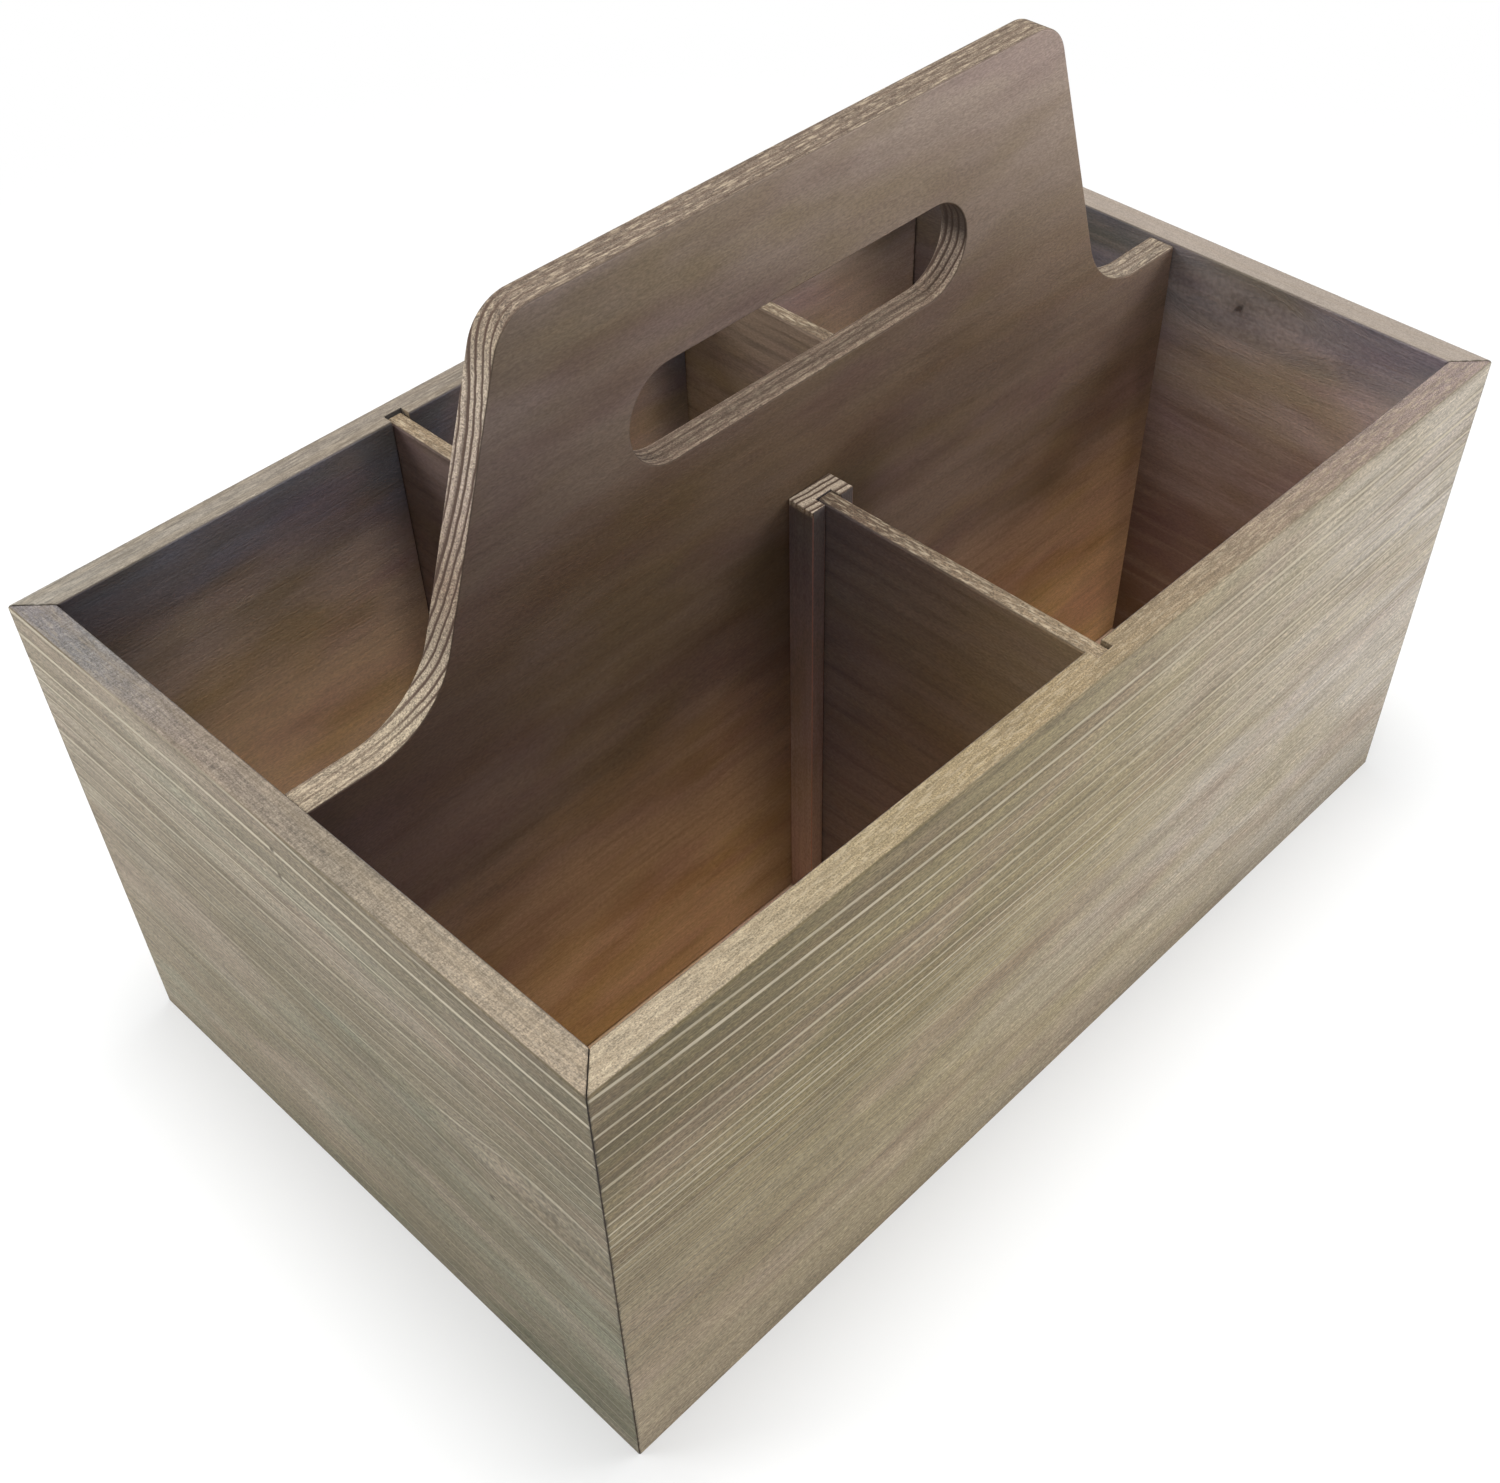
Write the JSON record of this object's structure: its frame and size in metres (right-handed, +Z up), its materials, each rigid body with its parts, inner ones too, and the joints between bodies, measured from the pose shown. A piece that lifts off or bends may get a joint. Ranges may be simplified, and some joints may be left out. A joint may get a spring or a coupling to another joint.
{
  "type": "storage box",
  "caption": "Open wooden table caddy with mitred walls, a full-length handle board with an oblong hand slot, and thin lift-out dividers held in grooves.",
  "frame": {"origin": "on the surface the caddy stands on, under the middle of its rectangular foot", "axes": "+X along the caddy to the right seen from the front, +Y from the front wall to the back wall, +Z up"},
  "size_m": [0.33, 0.205, 0.242],
  "materials": {
    "wall_wood": "solid softwood, brushed, weathered grey-brown stain, matt",
    "board_wood": "solid softwood, weathered grey-brown stain, matt",
    "cleat_wood": "solid softwood, grey-brown stain, matt, pale end grain on top",
    "divider_wood": "thin solid softwood, grey-brown stain, matt, pale top edge",
    "base_wood": "thin wooden panel, warm grey-brown stain, matt"
  },
  "bodies": {
    "caddy_frame": {"base_panel": "base_wood", "front_wall": "wall_wood", "back_wall": "wall_wood", "left_end_wall": "wall_wood", "right_end_wall": "wall_wood", "handle_board": "board_wood", "front_cleat": "cleat_wood", "back_left_cleat": "cleat_wood", "back_right_cleat": "cleat_wood"},
    "front_divider_body": {"front_divider": "divider_wood"},
    "back_left_divider_body": {"back_left_divider": "divider_wood"},
    "back_right_divider_body": {"back_right_divider": "divider_wood"}
  },
  "joints": [
    {"name": "front_divider_lift", "type": "slide", "parent": "caddy_frame", "child": "front_divider_body", "axis": [0, 0, 1], "range_m": [0, 0.155]},
    {"name": "back_left_divider_lift", "type": "slide", "parent": "caddy_frame", "child": "back_left_divider_body", "axis": [0, 0, 1], "range_m": [0, 0.155]},
    {"name": "back_right_divider_lift", "type": "slide", "parent": "caddy_frame", "child": "back_right_divider_body", "axis": [0, 0, 1], "range_m": [0, 0.155]}
  ]
}
